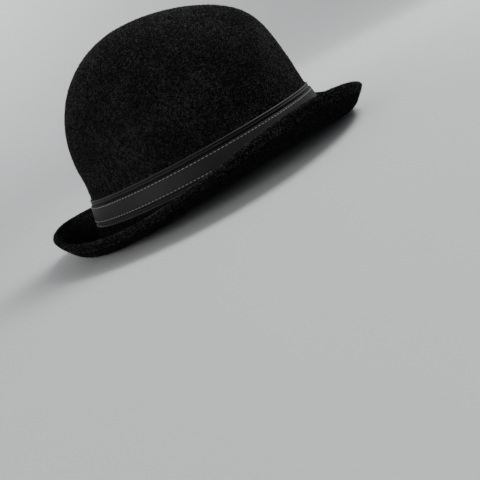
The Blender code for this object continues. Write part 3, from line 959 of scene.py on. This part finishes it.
class HAT_OT_strip(bpy.types.Operator):
    """Sew the smooth strip along the ribbon, drawn down at each stitch"""

    bl_idname = "hat.strip"
    bl_label = "Band Strip"

    COLUMNS_A_STITCH = 4
    FROM_EDGE = (0.15 * MM, 0.5 * MM)
    ROUND_ROW = (-0.35 * MM, 0.0, 0.45 * MM, 1.4 * MM)
    ROUND_MIDDLE = 2.0 * MM
    EDGE_DEPTH = 0.3 * MM
    SUNK_BASE = 0.05 * MM
    PLUMPNESS = 0.22 * MM
    PULL_WIDTH = 0.45 * MM
    LEAST_PULL = 0.14
    STITCH_PULL = 0.16

    def execute(self, context):
        form = HatForm(context.scene.hat_form)
        band = context.scene.hat_band
        low, high, face = band.strip_low, band.strip_high, band.strip_out
        base = band.ribbon_out - self.SUNK_BASE
        middle = (low + high) / 2
        number = round(form.length_round(middle, face) / band.stitch_pitch)
        angles, run = form.even_angles(self.COLUMNS_A_STITCH * number, middle, face)
        heights = [low + gap for gap in self.FROM_EDGE]
        heights += [band.stitch_low + gap for gap in self.ROUND_ROW]
        heights += [middle - self.ROUND_MIDDLE, middle, middle + self.ROUND_MIDDLE]
        heights += [band.stitch_high - gap for gap in reversed(self.ROUND_ROW)]
        heights += [high - gap for gap in reversed(self.FROM_EDGE)]
        section = [(height, face) for height in heights]
        section += [(high, face - self.EDGE_DEPTH), (high, base), (middle, base), (low, base),
                    (low, face - self.EDGE_DEPTH)]

        def wander(column, height, outset):
            if outset < face:
                return 0.0
            crown = self.PLUMPNESS * (1 - ((height - middle) / (high - middle)) ** 2)
            from_row = min(abs(height - band.stitch_low), abs(height - band.stitch_high))
            pull = exp(-(from_row / self.PULL_WIDTH) ** 2)
            between = 0.5 + 0.5 * cos(TURN * (column / self.COLUMNS_A_STITCH + 0.5))
            return crown - pull * (self.LEAST_PULL + self.STITCH_PULL * between) * MM

        mesh = ring_of(form, section, angles, run, wander)
        strip = finish_piece("band_strip", mesh, "strip", "hatband_overlay")
        return {"FINISHED"}


SUNK = 0.05 * MM  # how deep a row of stitches lies in its cloth
STITCH_SHARE = 0.4  # half a stitch as a share of the pitch


class HAT_OT_topstitches(bpy.types.Operator):
    """Run the two rows of topstitching along the strip"""

    bl_idname = "hat.topstitches"
    bl_label = "Topstitching"

    def execute(self, context):
        form = HatForm(context.scene.hat_form)
        band = context.scene.hat_band
        for row, height in (("lower", band.stitch_low), ("upper", band.stitch_high)):
            places, step = stitch_places(form, height, band.strip_out - SUNK, band.stitch_pitch)
            mesh = stitches(places, STITCH_SHARE * step, band.stitch_radius)
            finish_piece(f"topstitches_{row}", mesh, "thread", f"overlay_stitches_{row}",
                         recalculate=False)
        return {"FINISHED"}


class HAT_OT_side_bow(bpy.types.Operator):
    """Fold the flat bow that hides the band's join on the wearer's left"""

    bl_idname = "hat.side_bow"
    bl_label = "Side Bow"

    COLUMNS = 56
    ROWS = 9
    SQUARENESS = 0.62
    OFF_STRIP = 0.35 * MM
    LOW_GAP = 0.4 * MM
    ROOT_DEPTH = 0.62
    ROOT_WIDTH = 0.80
    ROOT_REACH = 0.4
    SAG = 0.25 * MM
    LOOP_RIBBON = 0.5 * MM
    KNOT_RIBBON = 0.6 * MM
    KNOT_WRAP = 1.25
    KNOT_OVERLAP = 1.2 * MM
    KNOT_PROUD = 1.3 * MM
    KNOT_FOLD = 0.30 * MM
    KNOT_PULL = 0.10
    KNOT_FALL = 1.6
    KNOT_LEAST = 0.05

    def execute(self, context):
        self.form = HatForm(context.scene.hat_form)
        band = context.scene.hat_band
        self.radius = self.form.half_length ** 2 / self.form.half_width
        self.low, self.high = band.ribbon_low + self.LOW_GAP, band.ribbon_high
        self.middle, self.width = (self.low + self.high) / 2, self.high - self.low
        self.outset = band.strip_out + self.OFF_STRIP
        for side, name in ((-1, "bow_front_loop"), (1, "bow_rear_loop")):
            mesh = self.loop(band, side)
            loop = finish_piece(f"folded_{name}", mesh, "grosgrain", name)
            thicken(loop, self.LOOP_RIBBON)
        knot = finish_piece("folded_bow_knot", self.knot(band), "grosgrain", "bow_knot")
        thicken(knot, self.KNOT_RIBBON, 0.0)
        return {"FINISHED"}

    def loop(self, band, side):
        """A folded ribbon loop that lies along the wall on one side of the knot."""
        long, depth = band.loop_length, band.loop_depth

        def place(column, row):
            turned = side * TURN * column / self.COLUMNS
            x, y = (copysign(abs(part) ** self.SQUARENESS, part)
                    for part in (cos(turned), sin(turned)))
            along = long * (1 + x) / 2
            swell = self.ROOT_DEPTH + (1 - self.ROOT_DEPTH) * sin(pi * along / long)
            pinch = (self.ROOT_WIDTH + (1 - self.ROOT_WIDTH)
                     * min(1.0, along / (self.ROOT_REACH * long)) ** 0.7)
            up = row / (self.ROWS - 1)
            sag = self.SAG * sin(3 * pi * up) * (along / long)
            return self.form.wall(pi / 2 + side * along / self.radius,
                                  self.middle + (up - 0.5) * self.width * pinch,
                                  self.outset + depth * swell * (1 + y) / 2 + sag)

        return drum(self.ROWS, self.COLUMNS, False, place,
                    lambda column, row: (2 * long * column / self.COLUMNS,
                                         self.width * row / (self.ROWS - 1)))

    def knot(self, band):
        """The short ribbon wrapped over the middle of the bow."""
        proud = band.loop_depth * self.ROOT_DEPTH + self.KNOT_PROUD

        def place(u, v):
            turned = v * self.KNOT_WRAP
            level = (self.middle + (self.width + self.KNOT_OVERLAP) / 2
                     * sin(turned) / sin(self.KNOT_WRAP))
            wrap = max(1 - (1 - cos(turned)) ** 2 * self.KNOT_FALL, self.KNOT_LEAST)
            pull = 1 - self.KNOT_PULL * cos(pi * v / 2)
            out = self.outset + proud * wrap + self.KNOT_FOLD * cos(3 * pi * u)
            turn = u * pull * band.knot_half_width / self.radius
            return self.form.wall(pi / 2 + turn, level, out)

        return patch(24, 28, place, (band.knot_half_width, self.width / 2))


class HAT_OT_sweatband(bpy.types.Operator):
    """Fit the leather sweatband, its reed, its tape and its seam"""

    bl_idname = "hat.sweatband"
    bl_label = "Sweatband"

    COLUMNS = 360
    ROLL = 0.35 * MM
    LINE_BELOW_TOP = 5.0 * MM
    LOOSE_ABOVE = 8.0 * MM
    LOOSENESS = 0.28 * MM
    SEAM_ABOVE_EDGE = 2.5 * MM
    SEAM_PITCH = 3.2 * MM
    SEAM_THREAD = 0.25 * MM
    JOIN_STITCHES = 18
    JOIN_LOW = 4.2 * MM
    JOIN_SHORTER = 6.0 * MM
    JOIN_SUNK = 0.15 * MM
    TAPE = 0.45 * MM
    TAPE_HIGH = 10.0 * MM
    TAPE_GAP = 0.1 * MM
    REED_INSET = 1.8 * MM
    REED_RADIUS = 0.9 * MM

    def execute(self, context):
        form = HatForm(context.scene.hat_form)
        felt = context.scene.hat_form.felt
        inside = context.scene.hat_inside
        low, high = inside.sweatband_low, inside.sweatband_high
        outer = -inside.leather_inset
        inner = outer - inside.leather
        angles, run = form.even_angles(self.COLUMNS, low, outer)

        def wander(column, height, outset):
            loose = max(0.0, (height - self.LOOSE_ABOVE) / (high - self.LOOSE_ABOVE))
            theta = TURN * column / self.COLUMNS
            waves = 1 + sin(7 * theta + 1.1) * sin(4 * theta)
            return -self.LOOSENESS * loose * waves / 2

        mesh = ring_of(form, self.leather_section(low, high, outer, inner), angles, run, wander)
        finish_piece("leather_sweatband", mesh, "leather", "sweatband")

        places, step = stitch_places(form, low + self.SEAM_ABOVE_EDGE, inner - SUNK,
                                     self.SEAM_PITCH, inward=True)
        mesh = stitches(places + self.join_places(form, low, high, inner), STITCH_SHARE * step,
                        self.SEAM_THREAD)
        finish_piece("sweatband_stitching", mesh, "dark_thread", "sweatband_seam_thread",
                     recalculate=False)

        tape_out = -(felt + self.TAPE_GAP)
        tape_in = tape_out - self.TAPE
        section = [(self.TAPE_HIGH, tape_out), (5 * MM, tape_out), (1 * MM, tape_out),
                   (0.7 * MM, tape_in), (5 * MM, tape_in), (self.TAPE_HIGH, tape_in)]
        mesh = ring_of(form, section, angles, run)
        tape = finish_piece("cotton_reed_tape", mesh, "tape", "reed_tape")

        drop = STANCE @ Vector((0, 0, -REED_BELOW_FOOT))
        path = [form.wall(theta, 0.0, -(felt + self.REED_INSET)) + drop for theta in angles]
        mesh = tube_round(path, self.REED_RADIUS, 10)
        finish_piece("plastic_reed", mesh, "reed", "sweatband_reed")
        return {"FINISHED"}

    def leather_section(self, low, high, outer, inner):
        """Down the leather's back, round its rolled edge and up its face past a scored line."""
        rolled = inner - self.ROLL
        line = high - self.LINE_BELOW_TOP
        section = [(high, outer - 0.25 * MM), (high - 1.0 * MM, outer)]
        section += [(level * MM, outer) for level in (28, 20, 12, 6)]
        section += [(low + 1.0 * MM, outer), (low + 0.3 * MM, outer - 0.1 * MM),
                    (low, outer - 0.5 * MM), (low + 0.2 * MM, inner - 0.15 * MM),
                    (low + 0.8 * MM, rolled), (low + 1.6 * MM, rolled), (low + 2.4 * MM, inner)]
        section += [(level * MM, inner) for level in (6, 9, 15, 22)]
        section += [(line - 0.5 * MM, inner), (line, inner + 0.25 * MM), (line + 0.5 * MM, inner),
                    (high - 1.0 * MM, inner), (high - 0.2 * MM, inner + 0.2 * MM)]
        return section

    def join_places(self, form, low, high, inner):
        """Zigzag stitches over the leather's join at the rear."""
        places = []
        for step in range(self.JOIN_STITCHES):
            part = (step + 0.5) / self.JOIN_STITCHES
            level = low + self.JOIN_LOW + (high - low - self.JOIN_SHORTER) * part
            middle, along, up, out = form.wall_axes(pi, level, inner - self.JOIN_SUNK)
            slanted = (along * (1 if step % 2 else -1) + up).normalized()
            places.append((middle, slanted, slanted.cross(out), -out))
        return places


class HAT_OT_rear_bow(bpy.types.Operator):
    """Tie the small ribbon bow at the rear of the sweatband"""

    bl_idname = "hat.rear_bow"
    bl_label = "Rear Bow"

    LEVEL = 9.0 * MM
    HALF_WIDTH = 13.0 * MM
    KNOT_HALF_HEIGHT = 0.9
    WING_GROWTH = 3.4
    PUFF = 1.1 * MM
    KNOT_PUFF = 0.9 * MM
    KNOT_SPREAD = 0.12
    CRUMPLE = 0.18 * MM
    OFF_LEATHER = 0.2 * MM
    RIBBON = 0.5 * MM

    def execute(self, context):
        form = HatForm(context.scene.hat_form)
        inside = context.scene.hat_inside
        face = -(inside.leather_inset + inside.leather + self.OFF_LEATHER)
        radius = form.half_width ** 2 / form.half_length

        def place(u, v):
            wing = sin(min(1.0, abs(u) * 1.15) * pi / 2) ** 1.4
            spread = (self.KNOT_HALF_HEIGHT + self.WING_GROWTH * wing) * MM
            puff = self.PUFF * sin(pi * min(1.0, abs(u))) * (1 - v * v)
            puff += self.KNOT_PUFF * exp(-(u / self.KNOT_SPREAD) ** 2)
            crumple = self.CRUMPLE * sin(9 * v + 5 * abs(u))
            return form.wall(pi + u * self.HALF_WIDTH / radius, self.LEVEL + v * spread,
                             face - puff - crumple)

        mesh = patch(48, 16, place, (self.HALF_WIDTH, 4 * MM))
        bow = finish_piece("tied_rear_bow", mesh, "grosgrain", "sweatband_rear_bow")
        thicken(bow, self.RIBBON, 1.0)
        return {"FINISHED"}


class HAT_OT_size_label(bpy.types.Operator):
    """Sew the blank size label to the sweatband"""

    bl_idname = "hat.size_label"
    bl_label = "Size Label"

    CENTRE = radians(222)
    LOW, HIGH = 12.0 * MM, 31.0 * MM
    HALF_WIDTH = 14.0 * MM
    OFF_LEATHER = 0.25 * MM
    HEM_START = 0.93
    HEM = 0.18 * MM
    CLOTH = 0.3 * MM

    def execute(self, context):
        form = HatForm(context.scene.hat_form)
        inside = context.scene.hat_inside
        face = -(inside.leather_inset + inside.leather + self.OFF_LEATHER)

        def place(u, v):
            hem = self.HEM if max(abs(u), abs(v)) > self.HEM_START else 0.0
            level = (self.LOW + self.HIGH) / 2 + v * (self.HIGH - self.LOW) / 2
            return form.wall(self.CENTRE + u * self.HALF_WIDTH / form.half_width, level, face - hem)

        mesh = patch(44, 30, place, (self.HALF_WIDTH, (self.HIGH - self.LOW) / 2))
        label = finish_piece("blank_size_label", mesh, "label", "size_label")
        thicken(label, self.CLOTH, 0.0)
        return {"FINISHED"}


class HAT_OT_lining(bpy.types.Operator):
    """Line the crown with a gathered satin side, an oval tip and a piped seam"""

    bl_idname = "hat.lining"
    bl_label = "Lining"

    COLUMNS = 512
    DOME_ROWS = 36
    WALL_ROWS = 14
    CLOTH = 0.3 * MM
    SIDE_GAP = 0.3 * MM
    GATHER_END = 0.9
    GATHER_POWER = 0.8
    PLEAT = 0.45 * MM
    TIP_COLUMNS = 192
    TIP_ROWS = 26
    TIP_GAP = 0.35 * MM
    TIP_RIPPLE = 0.12 * MM
    TIP_MERGE = 0.02 * MM
    PIPING_POINTS = 240
    PIPING_INSET = 1.9 * MM
    PIPING_RADIUS = 1.0 * MM

    def execute(self, context):
        form = HatForm(context.scene.hat_form)
        inside = context.scene.hat_inside
        inset, seam, low = inside.lining_inset, inside.seam_angle, inside.lining_low

        mesh = self.side(form, inset, seam, low, inside.pleats)
        side = finish_piece("satin_lining_side", mesh, "satin", "lining_side")
        thicken(side, self.CLOTH, 1.0)
        run = form.length_round(form.wall_top, -inset)

        tip = finish_piece("satin_lining_tip", self.tip(form, inset, seam), "satin", "lining_tip")
        thicken(tip, self.CLOTH, 1.0)

        path = [form.dome(TURN * k / self.PIPING_POINTS, seam, -(inset + self.PIPING_INSET))
                for k in range(self.PIPING_POINTS)]
        finish_piece("piped_lining_seam", tube_round(path, self.PIPING_RADIUS, 12), "satin",
                     "lining_piping")
        return {"FINISHED"}

    def side(self, form, inset, seam, low, pleats):
        """The side from the seam down, its gathers dying out above the crown's wall."""

        def place(column, row):
            theta = TURN * column / self.COLUMNS
            gather = max(0.0, 1 - row / (self.DOME_ROWS * self.GATHER_END)) ** self.GATHER_POWER
            pleat = sin(pleats * theta + 1.7 * sin(5 * theta))
            depth = inset + self.SIDE_GAP + gather * self.PLEAT * (1 + pleat)
            if row <= self.DOME_ROWS:
                return form.dome(theta, seam * (1 - row / self.DOME_ROWS), -depth)
            part = (row - self.DOME_ROWS) / self.WALL_ROWS
            return form.wall(theta, form.wall_top + (low - form.wall_top) * part, -depth)

        return drum(self.DOME_ROWS + self.WALL_ROWS + 1, self.COLUMNS, False, place,
                    lambda column, row: (0.55 * column / self.COLUMNS, 2.3 * MM * row))

    def tip(self, form, inset, seam):
        """The oval tip above the seam, closed at the apex."""

        def place(column, row):
            theta = TURN * column / self.TIP_COLUMNS
            rise = seam + (pi / 2 - seam) * row / (self.TIP_ROWS - 1)
            ripple = self.TIP_RIPPLE * sin(6 * theta + 9 * rise) * cos(rise)
            return form.dome(theta, rise, -(inset + self.TIP_GAP + ripple))

        mesh = drum(self.TIP_ROWS, self.TIP_COLUMNS, False, place,
                    lambda column, row: (0.25 * column / self.TIP_COLUMNS, 1.6 * MM * row))
        bmesh.ops.remove_doubles(mesh, verts=mesh.verts[:], dist=self.TIP_MERGE)
        return mesh


class HAT_OT_studio(bpy.types.Operator):
    """Set the pale sweep, the soft lights and the camera"""

    bl_idname = "hat.studio"
    bl_label = "Studio"

    CURVE_STEPS = 24
    TURN_STEPS = 96
    WALL_TOP = 4.5
    PAPER_LOW = ((0.48, 0.49, 0.495), (0.52, 0.53, 0.535))
    # the wall's paler paper is painted light that evens out its shade
    PAPER_PAINTED_LIGHT = (0.90, 0.91, 0.91)
    AIR_COLOUR = (0.86, 0.90, 0.94, 1.0)
    AIR_STRENGTH = 0.27
    HAT = (0.0, 0.0, 0.07)
    WALL = (-1.6, 3.4, 1.0)
    # name, place, what it shines on, size in metres, power in watts, tint
    LAMPS = (
        ("overhead_softbox", (0.65, 0.10, 1.40), HAT, 0.8, 3.5, (1.0, 0.99, 0.97)),
        ("front_softbox", (1.05, 0.30, 1.20), HAT, 0.6, 31.0, (1.0, 1.0, 0.99)),
        ("rear_left_softbox", (-1.00, -0.90, 0.42), HAT, 0.7, 9.0, (1.0, 0.98, 0.95)),
        ("side_fill", (0.35, -1.35, 0.75), HAT, 0.9, 0.6, (0.95, 0.97, 1.0)),
        ("backdrop_wash", (-0.6, 1.2, 2.4), WALL, 1.4, 42.0, (1.0, 1.0, 1.0)),
    )
    SENSOR_WIDTH = 36.0
    NEAREST, FARTHEST = 0.01, 20.0

    def execute(self, context):
        stage = context.scene.hat_stage
        show("studio_sweep", self.sweep(stage), self.paper())
        self.lights(context.scene)
        self.camera(context.scene, stage)
        return {"FINISHED"}

    def sweep(self, stage):
        """Round floor that curves up into a wall all round."""
        mesh = bmesh.new()
        flat, rise = stage.sweep_radius, stage.sweep_rise
        profile = [(0.0, 0.0), (flat * 0.5, 0.0), (flat, 0.0)]
        for step in range(1, self.CURVE_STEPS + 1):
            turned = pi / 2 * step / self.CURVE_STEPS
            profile.append((flat + rise * sin(turned), rise * (1 - cos(turned))))
        profile.append((profile[-1][0], self.WALL_TOP))
        points = [mesh.verts.new((x, 0.0, z)) for x, z in profile]
        edges = [mesh.edges.new(pair) for pair in zip(points, points[1:])]
        bmesh.ops.spin(mesh, geom=points + edges, cent=(0, 0, 0), axis=(0, 0, 1), dvec=(0, 0, 0),
                       angle=TURN, steps=self.TURN_STEPS, use_merge=True, use_normal_flip=False,
                       use_duplicate=False)
        bmesh.ops.remove_doubles(mesh, verts=mesh.verts[:], dist=0.01 * MM)
        bmesh.ops.recalc_face_normals(mesh, faces=mesh.faces[:])
        bmesh.ops.reverse_faces(mesh, faces=mesh.faces[:])
        return mesh

    def paper(self):
        """Matte paper, a little cloudy, and painted paler up the wall as painted light that evens
        out the wall's shade.
        """
        paper = Finish("sweep_paper", roughness=0.9, specular=0.1)
        place = paper.place()
        height = paper.add("ShaderNodeSeparateXYZ", {"Vector": place}).outputs["Z"]
        low = paper.blend(paper.noise(place, scale=3.0), *self.PAPER_LOW)
        # painted light: paler with height up the wall
        paper.paint(paper.blend(paper.spread(height, (0.0, 1.0)), low, self.PAPER_PAINTED_LIGHT))
        return paper.material

    def lights(self, scene):
        world = bpy.data.worlds.new("studio_air")
        world.use_nodes = True
        air = world.node_tree.nodes["Background"]
        air.inputs["Color"].default_value = self.AIR_COLOUR
        air.inputs["Strength"].default_value = self.AIR_STRENGTH
        scene.world = world
        for name, place, aim, size, power, tint in self.LAMPS:
            lamp = bpy.data.lights.new(name, "AREA")
            lamp.shape = "SQUARE"
            lamp.size = size
            lamp.energy = power
            lamp.color = tint
            holder = bpy.data.objects.new(name, lamp)
            holder.location = place
            view = Vector(aim) - Vector(place)
            holder.rotation_euler = view.to_track_quat("-Z", "Y").to_euler()
            scene.collection.objects.link(holder)

    def camera(self, scene, stage):
        lens = bpy.data.cameras.new("camera")
        lens.lens = stage.lens
        lens.sensor_width = self.SENSOR_WIDTH
        lens.clip_start, lens.clip_end = self.NEAREST, self.FARTHEST
        camera = bpy.data.objects.new("camera", lens)
        camera.location = FOOT + STANCE @ Vector(stage.camera_offset)
        level = Euler((pi / 2 - stage.camera_pitch, 0.0, -stage.camera_heading), "XYZ")
        camera.rotation_mode = "QUATERNION"
        roll = Matrix.Rotation(-stage.camera_roll, 3, "Z")
        camera.rotation_quaternion = (STANCE @ level.to_matrix() @ roll).to_quaternion()
        scene.collection.objects.link(camera)
        scene.camera = camera


OPERATORS = (HAT_OT_felt_body, HAT_OT_ribbon, HAT_OT_strip, HAT_OT_topstitches, HAT_OT_side_bow,
             HAT_OT_sweatband, HAT_OT_rear_bow, HAT_OT_size_label, HAT_OT_lining, HAT_OT_studio)


class VIEW3D_PT_bowler_hat(bpy.types.Panel):
    """Sidebar panel with the hat's pieces and settings"""

    bl_idname = "VIEW3D_PT_bowler_hat"
    bl_label = "Bowler Hat"
    bl_space_type = "VIEW_3D"
    bl_region_type = "UI"
    bl_category = "Bowler Hat"

    def draw(self, context):
        pieces = self.layout.column(align=True)
        for operator in OPERATORS:
            pieces.operator(operator.bl_idname)
        for name, group in SETTINGS.items():
            box = self.layout.box()
            box.label(text=name.replace("_", " ").capitalize())
            for prop in group.__annotations__:
                box.prop(getattr(context.scene, name), prop)


CLASSES = (*SETTINGS.values(), *OPERATORS, VIEW3D_PT_bowler_hat)


def register():
    for cls in CLASSES:
        bpy.utils.register_class(cls)
    for name, group in SETTINGS.items():
        setattr(bpy.types.Scene, name, PointerProperty(type=group))


def unregister():
    for name in SETTINGS:
        delattr(bpy.types.Scene, name)
    for cls in reversed(CLASSES):
        bpy.utils.unregister_class(cls)


def main():
    register()
    for operator in OPERATORS:
        family, name = operator.bl_idname.split(".")
        getattr(getattr(bpy.ops, family), name)()


if __name__ == "__main__":
    main()
